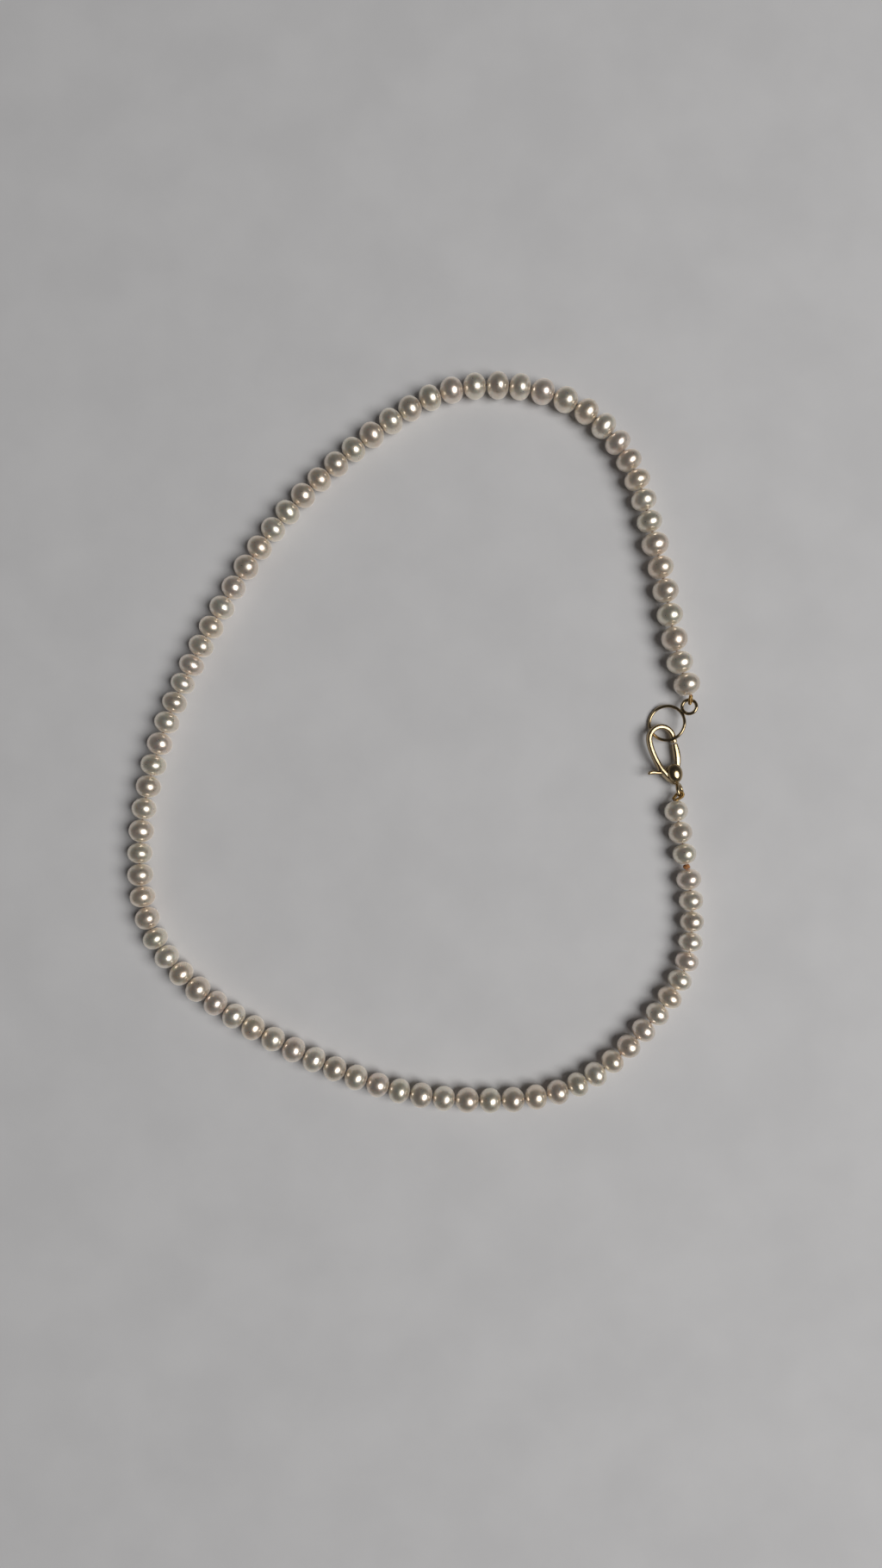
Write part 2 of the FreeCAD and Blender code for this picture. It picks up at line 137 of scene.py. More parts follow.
LUG = [                      # from the boss down to the eye
    ((-1.55, 0.1), (0.75, 0.95)),
    ((-1.0, -1.0), (0.72, 0.95)),
    ((-0.2, -1.9), (0.52, 0.80)),
    ((0.25, -2.45), (0.36, 0.45)),
]
GATE = [
    ((0.98, 0.95), (0.46, 0.44)),
    ((1.22, 1.9), (0.60, 0.60)),
    ((1.42, 3.0), (0.66, 0.73)),
    ((1.53, 4.2), (0.64, 0.75)),
    ((1.54, 5.62), (0.52, 0.74)),
]
TAB = [
    ((-1.15, 0.2), (0.45, 0.42)),
    ((-2.4, 0.62), (0.40, 0.42)),
    ((-3.5, 0.92), (0.36, 0.44)),
    ((-4.35, 1.22), (0.42, 0.48)),
    ((-5.0, 1.22), (0.34, 0.44)),
    ((-5.40, 1.06), (0.20, 0.34)),
]
END_TAPER = 0.98             # how nearly the ends of a bar close
HUB = (1.30, 0.30, 0.45)     # radius, half width and half height of the trigger's hub
HUB_STATIONS = 72
CHEEK_MIDDLE = 0.83          # height of a cheek of the boss, above and below the lever
CHEEK = [                    # (radius, height from the cheek's middle)
    (0.48, -0.27), (1.42, -0.27), (1.60, -0.18), (1.66, 0.0), (1.60, 0.18), (1.42, 0.27), (0.48, 0.27),
]
BOSS_SHIFT = (-0.30, -0.05)  # the worn boss and its dome sit a little off the pivot
SHIFT_FROM = 0.5             # the boss isn't shifted within this radius
SHIFT_OVER = 0.9             # and is wholly shifted this much further out
DOME = (1.50, 1.90, 1.00)    # half sizes of the rivet's domed head
DOME_FOOT = 1.09
DOME_EDGE = [(0.90, 0.0), (0.97, 0.01)]  # (share of the half size, height) below the dome
DOME_LIFT = 0.02             # height of the dome's widest ring above its foot
DOME_TIP = 0.02              # angle left flat at its top
DOME_RINGS = 26
EGG = 0.10                   # draws the dome narrower towards the eye and wider away from it
SHANK = 0.45                 # radius of the rivet's shank
SHANK_END = -1.12
SHANK_IN_DOME = 0.2
TAIL = [(0.60, -1.25), (0.78, -1.24), (0.85, -1.18), (0.85, -1.11), (0.40, -1.10)]

# ---- Camera and light, in metres ----------------------------------------------------------

CAMERA_PLACE = (0.0050, -0.0082)
CAMERA_HEIGHT = 0.2275
CAMERA_LENS = 26.2           # lens and sensor are in millimetres
CAMERA_SENSOR = 36.0
CAMERA_CLIP = 0.005
FLOOR_SIZE = 4.0
WINDOW_WAY = (0.64, -0.15, 1.0)
WINDOW_DISTANCE = 1.3
WINDOW_SIZE = 0.95
WINDOW_POWER = 11.6
WINDOW_COLOUR = (1.0, 0.985, 0.96)
ROOM_OVERHEAD = (0.030, 0.030, 0.033)
ROOM_WALLS = (0.12, 0.116, 0.11)
WALLS_UP_TO = 0.05           # height in the room's sphere where the walls start to darken
OVERHEAD_FROM = 0.70


# ---- Mesh helpers -------------------------------------------------------------------------

def new_piece(name, vertices, faces, material):
    """A mesh object with smooth shading, from vertices in metres and faces."""
    mesh = bpy.data.meshes.new(name)
    mesh.from_pydata([tuple(v) for v in vertices], [], faces)
    mesh.update()
    mesh.polygons.foreach_set("use_smooth", [True] * len(mesh.polygons))
    mesh.materials.append(material)
    piece = bpy.data.objects.new(name, mesh)
    bpy.context.scene.collection.objects.link(piece)
    return piece


def frames_along(points, closed=False):
    """Unit tangents and two side vectors that turn as little as possible along a path."""
    points = np.asarray(points, float)
    if closed:
        tangents = np.roll(points, -1, 0) - np.roll(points, 1, 0)
    else:
        tangents = np.gradient(points, axis=0)
    tangents /= np.linalg.norm(tangents, axis=1)[:, None]
    side = np.cross(tangents[0], (0.0, 0.0, 1.0))
    if np.linalg.norm(side) < 1e-3:
        side = np.cross(tangents[0], (1.0, 0.0, 0.0))
    side /= np.linalg.norm(side)
    sides = []
    for tangent in tangents:
        side = side - tangent * side.dot(tangent)
        side /= np.linalg.norm(side)
        sides.append(side)
    sides = np.array(sides)
    return tangents, sides, np.cross(tangents, sides)


def tube(points, radius, around, closed=False):
    """Vertices and faces of a round bar along a path. radius may differ at each point."""
    points = np.asarray(points, float)
    _, side_a, side_b = frames_along(points, closed)
    radius = np.broadcast_to(np.asarray(radius, float), (len(points),))
    turn = np.linspace(0, 2 * math.pi, around, endpoint=False)
    rings = (
        points[:, None]
        + radius[:, None, None] * np.cos(turn)[None, :, None] * side_a[:, None]
        + radius[:, None, None] * np.sin(turn)[None, :, None] * side_b[:, None]
    )
    vertices = rings.reshape(-1, 3)
    count = len(points)
    faces = []
    for i in range(count if closed else count - 1):
        j = (i + 1) % count
        for k in range(around):
            m = (k + 1) % around
            faces.append((i * around + k, i * around + m, j * around + m, j * around + k))
    if not closed:
        faces.append(tuple(range(around))[::-1])
        faces.append(tuple((count - 1) * around + k for k in range(around)))
    return vertices, faces


def joined(parts):
    """Several (vertices, faces) as one."""
    vertices, faces, base = [], [], 0
    for some, those in parts:
        vertices.append(np.asarray(some, float))
        faces += [tuple(base + i for i in face) for face in those]
        base += len(some)
    return np.vstack(vertices), faces


def solids_of(node):
    """The separate solids of a CAD node, each as an array of its points and its faces."""
    mesh = frame["nodes"][node].data
    work = bmesh.new()
    work.from_mesh(mesh)
    bmesh.ops.remove_doubles(work, verts=work.verts, dist=1e-7)
    bmesh.ops.triangulate(work, faces=work.faces)
    seen, found = set(), []
    for start in work.verts:
        if start.index in seen:
            continue
        stack, group = [start], []
        seen.add(start.index)
        while stack:
            vertex = stack.pop()
            group.append(vertex)
            for edge in vertex.link_edges:
                other = edge.other_vert(vertex)
                if other.index not in seen:
                    seen.add(other.index)
                    stack.append(other)
        place = {v.index: i for i, v in enumerate(group)}
        points = np.array([v.co for v in group])
        faces = {f for v in group for f in v.link_faces}
        triangles = np.array([[place[v.index] for v in f.verts] for f in faces])
        found.append((points, triangles))
    work.free()
    return found


def principal_axes(points, triangles):
    """Middle and axes of a closed surface, weighted by area, shortest spread first."""
    corners = points[triangles]
    area = np.linalg.norm(
        np.cross(corners[:, 1] - corners[:, 0], corners[:, 2] - corners[:, 0]), axis=1
    )
    middles = corners.mean(axis=1)
    centre = (middles * area[:, None]).sum(0) / area.sum()
    away = middles - centre
    spread = (away[:, :, None] * away[:, None, :] * area[:, None, None]).sum(0)
    _, axes = np.linalg.eigh(spread)
    return centre, axes.T


# ---- Materials ----------------------------------------------------------------------------

def new_material(name):
    """An empty node material and its shader."""
    material = bpy.data.materials.new(name)
    material.use_nodes = True
    nodes = material.node_tree.nodes
    return material, nodes, material.node_tree.links, nodes["Principled BSDF"]


def noise_node(nodes, links, scale, detail, distortion=0.0):
    """Noise in object space, whose scale is in cells per metre."""
    place = nodes.new("ShaderNodeTexCoord")
    texture = nodes.new("ShaderNodeTexNoise")
    texture.inputs["Scale"].default_value = scale
    texture.inputs["Detail"].default_value = detail
    texture.inputs["Distortion"].default_value = distortion
    links.new(place.outputs["Object"], texture.inputs["Vector"])
    return texture


def ramp(nodes, links, source, low, high, colours):
    """Maps a value between low and high to colours spread evenly."""
    node = nodes.new("ShaderNodeValToRGB")
    elements = node.color_ramp.elements
    while len(elements) < len(colours):
        elements.new(0.5)
    for i, colour in enumerate(colours):
        elements[i].position = low + (high - low) * i / (len(colours) - 1)
        elements[i].color = (*colour, 1.0)
    links.new(source, node.inputs["Fac"])
    return node.outputs["Color"]


def ranged(nodes, links, source, low, high):
    """Maps 0.3..0.7 of a noise to low..high."""
    node = nodes.new("ShaderNodeMapRange")
    node.inputs["From Min"].default_value = 0.3
    node.inputs["From Max"].default_value = 0.7
    node.inputs["To Min"].default_value = low
    node.inputs["To Max"].default_value = high
    links.new(source, node.inputs["Value"])
    return node.outputs["Result"]


def bumped(nodes, links, shader, source, distance, strength):
    """Adds a bump of a height in metres to the shader."""
    node = nodes.new("ShaderNodeBump")
    node.inputs["Strength"].default_value = strength
    node.inputs["Distance"].default_value = distance
    links.new(source, node.inputs["Height"])
    links.new(node.outputs["Normal"], shader.inputs["Normal"])


def mixed(nodes, links, kind, amount, first, second):
    """Two colours mixed by a fixed amount."""
    node = nodes.new("ShaderNodeMix")
    node.data_type = "RGBA"
    node.blend_type = kind
    node.inputs["Factor"].default_value = amount
    links.new(first, node.inputs["A"])
    links.new(second, node.inputs["B"])
    return node.outputs["Result"]


def nacre():
    """Cream nacre: a tinted, half metallic lustre under a glossy coat."""
    material, nodes, links, shader = new_material("nacre")
    tint = nodes.new("ShaderNodeAttribute")
    tint.attribute_name = "tint"
    clouds = noise_node(nodes, links, 420.0, detail=2.0, distortion=0.6)
    cloud_colour = ramp(
        nodes, links, clouds.outputs["Fac"], 0.3, 0.7,
        [(0.88, 0.80, 0.74), (1.0, 0.97, 0.92), (0.93, 0.95, 0.90)],
    )
    colour = mixed(nodes, links, "MULTIPLY", 0.75, tint.outputs["Color"], cloud_colour)
    links.new(colour, shader.inputs["Base Color"])
    grain = noise_node(nodes, links, 1500.0, detail=3.0)
    links.new(
        ranged(nodes, links, grain.outputs["Fac"], 0.27, 0.40), shader.inputs["Roughness"]
    )
    skin = noise_node(nodes, links, 900.0, detail=2.0)
    bumped(nodes, links, shader, skin.outputs["Fac"], 0.00002, 0.4)
    shader.inputs["Metallic"].default_value = 0.80
    shader.inputs["Subsurface Weight"].default_value = 1.0
    shader.inputs["Subsurface Radius"].default_value = (1.0, 0.75, 0.55)
    shader.inputs["Subsurface Scale"].default_value = 0.0022
    shader.inputs["IOR"].default_value = 1.6
    shader.inputs["Coat Weight"].default_value = 1.0
    shader.inputs["Coat Roughness"].default_value = 0.11
    shader.inputs["Coat IOR"].default_value = 1.8
    shader.inputs["Sheen Weight"].default_value = 1.0
    shader.inputs["Sheen Roughness"].default_value = 0.5
    shader.inputs["Sheen Tint"].default_value = (1.0, 0.92, 0.80, 1.0)
    return material


def gold(name, colour, low, high, scale=1400.0):
    """Polished gold alloy with faint wear that differs over the surface."""
    material, nodes, links, shader = new_material(name)
    patches = noise_node(nodes, links, scale * 0.35, detail=3.0, distortion=0.5)
    darker = tuple(c * 0.72 for c in colour)
    worn = tuple(min(1.0, c * 1.08) for c in colour)
    tone = ramp(nodes, links, patches.outputs["Fac"], 0.32, 0.68, [darker, colour, worn])
    links.new(tone, shader.inputs["Base Color"])
    grain = noise_node(nodes, links, scale * 2.2, detail=4.0)
    links.new(ranged(nodes, links, grain.outputs["Fac"], low, high), shader.inputs["Roughness"])
    bumped(nodes, links, shader, grain.outputs["Fac"], 0.000008, 0.5)
    shader.inputs["Metallic"].default_value = 1.0
    return material


def silk():
    """Golden brown silk with fine fibres along its twist."""
    material, nodes, links, shader = new_material("silk")
    fibres = noise_node(nodes, links, 7000.0, detail=2.0, distortion=1.5)
    tone = ramp(
        nodes, links, fibres.outputs["Fac"], 0.3, 0.7,
        [(0.20, 0.07, 0.02), (0.42, 0.16, 0.04), (0.62, 0.29, 0.09)],
    )
    links.new(tone, shader.inputs["Base Color"])
    bumped(nodes, links, shader, fibres.outputs["Fac"], 0.00003, 0.8)
    shader.inputs["Roughness"].default_value = 0.55
    shader.inputs["Sheen Weight"].default_value = 0.5
    shader.inputs["Sheen Roughness"].default_value = 0.35
    return material


def spring_steel():
    """Bright drawn wire."""
    material, nodes, links, shader = new_material("spring_steel")
    drawn = noise_node(nodes, links, 5000.0, detail=3.0)
    tone = ramp(
        nodes, links, drawn.outputs["Fac"], 0.3, 0.7,
        [(0.42, 0.42, 0.43), (0.62, 0.61, 0.6)],
    )
    links.new(tone, shader.inputs["Base Color"])
    links.new(ranged(nodes, links, drawn.outputs["Fac"], 0.2, 0.35), shader.inputs["Roughness"])
    shader.inputs["Metallic"].default_value = 1.0
    return material


def paper():
    """The pale matt surface that the necklace lies on."""
    material, nodes, links, shader = new_material("paper")
    clouds = noise_node(nodes, links, 60.0, detail=4.0)
    tone = ramp(
        nodes, links, clouds.outputs["Fac"], 0.35, 0.65,
        [(0.70, 0.70, 0.715), (0.74, 0.74, 0.755)],
    )
    links.new(tone, shader.inputs["Base Color"])
    tooth = noise_node(nodes, links, 2500.0, detail=3.0)
    bumped(nodes, links, shader, tooth.outputs["Fac"], 0.00002, 0.35)
    shader.inputs["Roughness"].default_value = 0.75
    return material


NACRE = nacre()
GOLD = gold("gold", (0.48, 0.37, 0.22), 0.13, 0.25)
COIL_GOLD = gold("french_wire", (0.66, 0.44, 0.17), 0.18, 0.32, 2600.0)
SILK = silk()
STEEL = spring_steel()
PAPER = paper()


# ---- Pearls -------------------------------------------------------------------------------

TINTS = [                    # base colours of the nacre, dealt out along the strand
    (0.91, 0.84, 0.74),
    (0.83, 0.73, 0.64),
    (0.89, 0.78, 0.71),
    (0.85, 0.80, 0.69),
    (0.92, 0.86, 0.77),
    (0.80, 0.72, 0.63),
    (0.91, 0.79, 0.67),
]


def pair_body(pair):
    """The body that a pair of pearls rides."""
    return BODY_OF["pearl_pair_%02d" % (pair + 1)]


def measured_pearls():
    """Each pearl's middle, axis along the strand, half length and radius, in strand order."""
    solids = []
    last = np.array(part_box("clasp_end_ring")).mean(axis=0)
    for pair in range(PAIRS):
        two = []
        for points, triangles in solids_of("pearl_pair_%02d" % (pair + 1)):
            two.append((principal_axes(points, triangles)[0], points))
        two.sort(key=lambda one: np.linalg.norm(one[0] - last))
        last = two[-1][0]
        solids += two
    centres = np.array([centre for centre, _ in solids])
    ways = np.gradient(centres, axis=0)
    ways[0] = 2 * ways[0] - ways[1]
    ways[-1] = 2 * ways[-1] - ways[-2]
    strand = []
    for (centre, points), way in zip(solids, ways):
        axis = way / np.linalg.norm(way)
        along = (points - centre) @ axis
        across = np.linalg.norm(points - centre - along[:, None] * axis, axis=1)
        strand.append((centre, axis, np.abs(along).max(), across.max()))
    return strand


def uneven(direction, number, rings):
    """How far a pearl's skin strays from round in a direction, as a share of its radius.

    rings is 1 for a pearl with faint rings round it, and 0 for one without.
    """
    seed = Vector([number * step for step in SEED_STEPS])
    lumps = noise.noise(direction * LUMP_SCALE + seed) * LUMPS * LUMP_GAIN
    ripples = noise.noise(direction * RIPPLE_SCALE + seed * 2) * RIPPLES
    grooves = rings * GROOVES * math.cos(GROOVE_RATE * direction.x + number)
    return lumps + ripples + grooves


def bead_profile(half, radius):
    """Places along the axis, and distances from it, from one mouth of the hole to the other.

    Two flatter end caps meet a round band, as in the CAD.
    """
    cap = END_FULLNESS * radius ** 2 / half
    band = (2 * cap * half - half ** 2 - radius ** 2) / (2 * (cap - radius))
    turn = math.atan2(radius - band, cap - half)
    caps = np.linspace(math.asin(BORE * MM / cap), turn, PEARL_CAP, endpoint=False)
    bands = np.linspace(turn, math.pi / 2, PEARL_BAND)
    along = np.concatenate([half - cap + cap * np.cos(caps), band * np.cos(bands)])
    away = np.concatenate([cap * np.sin(caps), radius - band + band * np.sin(bands)])
    return (np.concatenate([along, -along[-2::-1]]), np.concatenate([away, away[-2::-1]]))


def pearl_shape(number, centre, axis, half, radius):
    """One drilled pearl, built from ring to ring between the mouths of its hole.

    Its faces are wound so that their normals point into the nacre.
    """
    bore = BORE * MM
    turn = np.linspace(0, 2 * math.pi, PEARL_AROUND, endpoint=False)
    rings = 1.0 if number % RINGED_EVERY == 1 else 0.0
    side = np.cross(axis, (0.0, 0.0, 1.0))
    side /= np.linalg.norm(side)
    up = np.cross(side, axis)
    rows = []
    for x, reach in zip(*bead_profile(half, radius)):
        fade = min(1.0, (reach - bore) / (LUMP_FADE * radius))
        row = []
        for t in turn:
            point = Vector((x, reach * math.cos(t), reach * math.sin(t)))
            grow = 1.0 - LUMPS * fade + uneven(point.normalized(), number, rings) * fade
            row.append(point * grow)
        rows.append(row)
    end = rows[0][0].x
    for place, share in HOLE_ROWS:
        inner = bore * share
        rows.append([(place * end, inner * math.cos(t), inner * math.sin(t)) for t in turn])
    local = np.array(rows).reshape(-1, 3)
    vertices = centre + local @ np.array([axis, side, up])
    count = len(rows)
    faces = []
    for i in range(count):
        j = (i + 1) % count
        for k in range(PEARL_AROUND):
            m = (k + 1) % PEARL_AROUND
            faces.append((i * PEARL_AROUND + k, j * PEARL_AROUND + k,
                          j * PEARL_AROUND + m, i * PEARL_AROUND + m))
    return vertices, faces


def build_pearls(strand):
    """One piece for each pair of pearls that share a body."""
    for pair in range(PAIRS):
        numbers = (2 * pair, 2 * pair + 1)
        shapes = [pearl_shape(n, *strand[n]) for n in numbers]
        vertices, faces = joined(shapes)
        piece = new_piece("pearls_%02d" % (pair + 1), vertices, faces, NACRE)
        colours = piece.data.color_attributes.new("tint", "FLOAT_COLOR", "POINT")
        values = []
        for n, (points, _) in zip(numbers, shapes):
            tint = TINTS[(n * 5 + n // 3) % len(TINTS)]
            values += list((*tint, 1.0)) * len(points)
        colours.data.foreach_set("color", values)
        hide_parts("pearl_pair_%02d" % (pair + 1))
        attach(piece, pair_body(pair))


# ---- Silk ---------------------------------------------------------------------------------

def mouth(one, sign):
    """The point on a pearl's axis at one end of it."""
    centre, axis, half, _ = one
    return centre + axis * half * sign


def strand_joints(strand):
    """The points between neighbouring pearls, and one outside each end."""
    first = mouth(strand[0], -1) - strand[0][1] * MOUTH_GAP * MM
    last = mouth(strand[-1], 1) + strand[-1][1] * MOUTH_GAP * MM
    inner = [(mouth(a, 1) + mouth(b, -1)) / 2 for a, b in zip(strand, strand[1:])]
    return [first, *inner, last]


def twisted(points, start):
    """Two plies twisted round a path. start is the path's place along the whole thread."""
    points = np.asarray(points, float)
    step = np.linalg.norm(np.diff(points, axis=0), axis=1)
    place = start + np.concatenate([[0], np.cumsum(step)])
    _, side_a, side_b = frames_along(points)
    parts = []
    for phase in (0.0, math.pi):
        turn = 2 * math.pi * place / (PLY_TURN * MM) + phase
        reach = PLY_REACH * PLY * MM
        path = points + reach * (
            np.cos(turn)[:, None] * side_a + np.sin(turn)[:, None] * side_b
        )
        parts.append(tube(path, PLY * MM, PLY_AROUND))
    return joined(parts), place[-1]


def straight(start, end, spacing):
    """Points from start to end, no further apart than the spacing."""
    count = max(2, int(np.linalg.norm(end - start) / spacing) + 1)
    share = np.linspace(0, 1, count)[:, None]
    return start + (end - start) * share


def build_thread(strand):
    """The silk through each pair of pearls, meeting the next pair's where the strand bends."""
    joints = strand_joints(strand)
    place = 0.0
    for pair in range(PAIRS):
        a, b, c = joints[2 * pair: 2 * pair + 3]
        first = straight(a, b, THREAD_STEP * MM)
        second = straight(b, c, THREAD_STEP * MM)
        (vertices, faces), place = twisted(np.vstack([first, second[1:]]), place)
        piece = new_piece("silk_%02d" % (pair + 1), vertices, faces, SILK)
        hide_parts("silk_thread")
        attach(piece, pair_body(pair))


def overhand(middle, axis, long, wide, strand_radius):
    """A tight overhand knot: one strand that goes three times round itself."""
    turn = np.linspace(0, 2 * math.pi, KNOT_STEPS, endpoint=False)
    side = np.cross(axis, (0.0, 0.0, 1.0))
    side /= np.linalg.norm(side)
    up = np.cross(side, axis)
    reach = 2.0 + np.cos(3 * turn)
    x = np.sin(3 * turn) * (long / 2 - strand_radius)
    y = reach / 3.0 * np.cos(2 * turn) * (wide / 2 - strand_radius)
    z = reach / 3.0 * np.sin(2 * turn) * (wide / 2 - strand_radius)
    path = middle + x[:, None] * axis + y[:, None] * side + z[:, None] * up
    return tube(path, strand_radius, KNOT_AROUND, closed=True)


def build_knot(strand):
    """The finishing knot on the clasp side, with its core."""
    before, after = strand[KNOT_AFTER], strand[KNOT_AFTER + 1]
    start, end = mouth(before, 1), mouth(after, -1)
    axis = (end - start) / np.linalg.norm(end - start)
    middle = (start + end) / 2
    turns = overhand(middle, axis, KNOT_LONG * MM, KNOT_WIDE * MM, KNOT_STRAND * MM)
    core = tube(straight(start, end, CORE_STEP * MM), KNOT_CORE * MM, CORE_AROUND)
    vertices, faces = joined([turns, core])
    piece = new_piece("knot", vertices, faces, SILK)
    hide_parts("knot_clasp_side")
    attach(piece, BODY_OF["knot_clasp_side"])


# ---- Rings and French wire ----------------------------------------------------------------

def measured_ring(node):
    """A ring's middle, its normal with +Z up, and the radius of its centre line."""
    points, triangles = solids_of(node)[0]
    centre, axes = principal_axes(points, triangles)
    normal = axes[0] if axes[0][2] > 0 else -axes[0]
    flat = (points - centre) - ((points - centre) @ normal)[:, None] * normal
    reach = np.linalg.norm(flat, axis=1)
    return centre, normal, (reach.max() + reach.min()) / 2


def ring_path(centre, normal, radius, count):
    """Points round a ring's centre line."""
    side = np.cross(normal, (0.0, 1.0, 0.0))
    side /= np.linalg.norm(side)
    up = np.cross(normal, side)
    turn = np.linspace(0, 2 * math.pi, count, endpoint=False)
    return centre + radius * (
        np.cos(turn)[:, None] * side + np.sin(turn)[:, None] * up
    )


def build_ring(node, wire):
    """A ring of round wire, worn slightly thinner in three places. Returns its measures."""
    centre, normal, radius = measured_ring(node)
    path = ring_path(centre, normal, radius, RING_STEPS)
    turn = np.linspace(0, 2 * math.pi, RING_STEPS, endpoint=False)
    thickness = wire * MM * (1 - RING_WEAR - RING_WEAR * np.cos(3 * turn + 1.0))
    vertices, faces = tube(path, thickness, RING_AROUND, closed=True)
    piece = new_piece(node.replace("_ring", "_ring_wire"), vertices, faces, GOLD)
    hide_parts(node)
    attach(piece, BODY_OF[node])
    return centre, normal, radius


def limb_towards(ring, target):
    """The point of a ring's centre line nearest to a target, and the wire's way there."""
    middle, normal, radius = ring
    away = target - middle
    away = away - normal * (away @ normal)
    away /= np.linalg.norm(away)
    return middle + away * radius, np.cross(normal, away)


def loop_points(limb, wire, along, start):
    """The French wire's route from the pearl round the ring's limb and back."""
    outward = start - limb
    across = np.cross(outward, along)
    across /= np.linalg.norm(across)
    guard = (wire + COIL + LOOP_CLEARANCE) * MM
    offset = (COIL + LEG_GAP) * MM
    reach = np.linalg.norm(outward)
    ahead = outward / reach
    turn = math.atan2(offset, reach) + math.acos(guard / math.hypot(reach, offset))
    angles = np.linspace(turn, 2 * math.pi - turn, LOOP_STEPS)
    bend = limb + guard * (
        np.cos(angles)[:, None] * ahead + np.sin(angles)[:, None] * across
    )
    first = straight(start + across * offset, bend[0], LEG_STEP * MM)
    last = straight(bend[-1], start - across * offset, LEG_STEP * MM)
    return np.vstack([first[:-1], bend, last[1:]])


def evenly(points, spacing):
    """The same path resampled at an even spacing, and the place of each point along it."""
    step = np.linalg.norm(np.diff(points, axis=0), axis=1)
    place = np.concatenate([[0], np.cumsum(step)])
    wanted = np.arange(0, place[-1], spacing)
    return np.stack([np.interp(wanted, place, points[:, i]) for i in range(3)], axis=1), wanted


def build_french_wire(node, ring, wire, end):
    """A close coil of fine gold wire over the silk, with the silk inside it."""
    limb, along = limb_towards(ring, end)
    route = loop_points(limb, wire, along, end)
    points, place = evenly(route, COIL_STEP * MM)
    _, side_a, side_b = frames_along(points)
    turn = 2 * math.pi * place / (COIL_PITCH * COIL_WIRE * MM)
    reach = (COIL - COIL_WIRE) * MM
    path = points + reach * (
        np.cos(turn)[:, None] * side_a + np.sin(turn)[:, None] * side_b
    )
    vertices, faces = tube(path, COIL_WIRE * MM, COIL_AROUND)
    piece = new_piece(node.replace("_side", "_coil"), vertices, faces, COIL_GOLD)
    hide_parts(node)
    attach(piece, BODY_OF[node])
    core, _ = evenly(route, THREAD_STEP * MM)
    (vertices, faces), _ = twisted(core, 0.0)
    silk_core = new_piece(node.replace("french_wire", "silk_in"), vertices, faces, SILK)
    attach(silk_core, BODY_OF[node])


# ---- Clasp --------------------------------------------------------------------------------

def clasp_frame():
    """The clasp's pivot and the ways of its flat frame: sideways, along the hook, and up."""
    joint = next(j for j in BEHAVIOUR["joints"] if j["name"] == "lever_press")
    pivot, up = np.array(joint["pos_m"]), np.array(joint["axis"])
    to_eye = EYE[0] - pivot
    to_eye -= up * (to_eye @ up)
    square = np.cross(up, to_eye)
    turn = math.atan2(EYE_PLACE[0], -EYE_PLACE[1])
    hook = -(to_eye * math.cos(turn) - square * math.sin(turn))
    hook /= np.linalg.norm(hook)
    return pivot, np.array([np.cross(hook, up), hook, up])


def placed(vertices):
    """Points of the clasp's flat frame, in millimetres, carried to where the clasp lies."""
    pivot, ways = CLASP
    return pivot + np.asarray(vertices, float) * MM @ ways


def smooth(points, count):
    """A curve through a few points, with its stations closer together at both ends."""
    points = np.asarray(points, float)
    step = np.linalg.norm(np.diff(points, axis=0), axis=1)
    place = np.concatenate([[0], np.cumsum(step)])
    slope = np.gradient(points, place, axis=0)
    wanted = place[-1] * (1 - np.cos(np.linspace(0, math.pi, count))) / 2
    result = []
    for w in wanted:
        i = min(int(np.searchsorted(place, w, side="right")) - 1, len(place) - 2)
        span = place[i + 1] - place[i]
        t = (w - place[i]) / span
        result.append(
            (2 * t ** 3 - 3 * t ** 2 + 1) * points[i] + (t ** 3 - 2 * t ** 2 + t) * span * slope[i]
            + (3 * t ** 2 - 2 * t ** 3) * points[i + 1] + (t ** 3 - t ** 2) * span * slope[i + 1]
        )
    return np.array(result)


def bar(stations, power, count=None, blunt=1.0):
    """A bar in the clasp's flat frame, with rounded sections and rounded ends.

    Each station is (x, y, z, half width, half height). power 2 gives elliptic sections, and
    blunt is the length of the ends' rounding as a share of the half width. A curve of count
    sections goes through the stations. Without a count, they are the sections of a closed bar.
    """
    closed = count is None
    line = np.asarray(stations, float) if closed else smooth(stations, count)
    path, wide, high = line[:, :3], line[:, 3], line[:, 4]
    if closed:
        ahead = np.roll(path, -1, 0) - np.roll(path, 1, 0)
    else:
        ahead = np.gradient(path, axis=0)
        step = np.concatenate([[0], np.cumsum(np.linalg.norm(np.diff(path, axis=0), axis=1))])
        near = np.minimum(step, step[-1] - step)
        share = np.clip(near / (wide * blunt), 0, 1)
        ends = 1 - min(1.0, blunt) * (1 - np.sqrt(1 - (1 - share) ** 2)) * END_TAPER
        wide, high = wide * ends, high * ends
    ahead /= np.linalg.norm(ahead, axis=1)[:, None]
    side = np.cross(ahead, (0.0, 0.0, 1.0))
    side /= np.linalg.norm(side, axis=1)[:, None]
    turn = np.linspace(0, 2 * math.pi, BAR_AROUND, endpoint=False)
    across = np.sign(np.cos(turn)) * np.abs(np.cos(turn)) ** (2 / power)
    upward = np.sign(np.sin(turn)) * np.abs(np.sin(turn)) ** (2 / power)
    rings = (
        path[:, None] + wide[:, None, None] * across[None, :, None] * side[:, None]
        + high[:, None, None] * upward[None, :, None] * np.array((0.0, 0.0, 1.0))
    )
    total = len(path)
    faces = []
    for i in range(total if closed else total - 1):
        j = (i + 1) % total
        for k in range(BAR_AROUND):
            m = (k + 1) % BAR_AROUND
            faces.append((i * BAR_AROUND + k, j * BAR_AROUND + k,
                          j * BAR_AROUND + m, i * BAR_AROUND + m))
    if not closed:
        faces.append(tuple(range(BAR_AROUND)))
        faces.append(tuple((total - 1) * BAR_AROUND + k for k in range(BAR_AROUND))[::-1])
    return rings.reshape(-1, 3), faces


